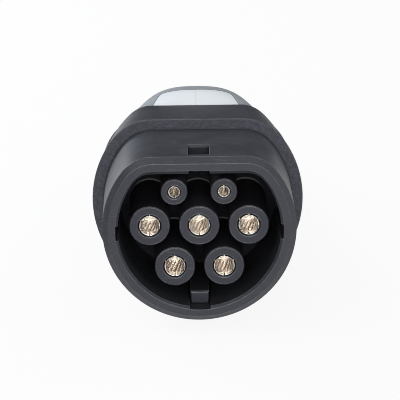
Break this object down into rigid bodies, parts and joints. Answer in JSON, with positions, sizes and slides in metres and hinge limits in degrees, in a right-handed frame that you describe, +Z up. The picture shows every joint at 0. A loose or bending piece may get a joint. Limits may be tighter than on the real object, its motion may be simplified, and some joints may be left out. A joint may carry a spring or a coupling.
{
  "type": "ev charging connector",
  "caption": "Vehicle-side connector of an EV charging cable: D-shaped shroud, socket contacts in round towers, split handle and cable gland.",
  "frame": {"origin": "centre of the earth contact at the plane of the shroud's rim", "axes": "-Y out of the open front, +Y along the handle, +Z up on the flat side of the D"},
  "size_m": [0.0706, 0.1918, 0.0652],
  "materials": {
    "housing_black": "fine moulded texture",
    "carrier_black": "fine moulded texture",
    "handle_grey": "fine moulded texture",
    "handle_black": "fine moulded texture",
    "label_white": "satin print film",
    "contact_plating": "plated and polished",
    "cage_plating": "plated and polished",
    "seal_rubber": "smooth",
    "screw_steel": "zinc plated",
    "inner_plastic": "moulded",
    "gland_plastic": "moulded",
    "resistor_blue": "glazed"
  },
  "bodies": {
    "root": {"cable_clamp": "inner_plastic", "carrier_seal": "seal_rubber", "clamp_screws": "screw_steel", "coding_resistor": "resistor_blue", "contact_carrier": "carrier_black", "contact_retainer": "inner_plastic", "front_housing": "housing_black", "gland_body": "gland_plastic", "gland_claw": "inner_plastic", "gland_nut": "gland_plastic", "gland_seal": "seal_rubber", "handle_lower": "handle_black", "handle_upper": "handle_grey", "housing_gasket": "seal_rubber", "label_plate": "label_white", "louvre_earth": "cage_plating", "louvre_l1": "cage_plating", "louvre_l2": "cage_plating", "louvre_l3": "cage_plating", "louvre_neutral": "cage_plating", "louvre_pilot": "cage_plating", "louvre_proximity": "cage_plating", "retainer_screws": "screw_steel", "shell_screws": "screw_steel", "socket_earth": "contact_plating", "socket_l1": "contact_plating", "socket_l2": "contact_plating", "socket_l3": "contact_plating", "socket_neutral": "contact_plating", "socket_pilot": "contact_plating", "socket_proximity": "contact_plating"}
  },
  "joints": []
}
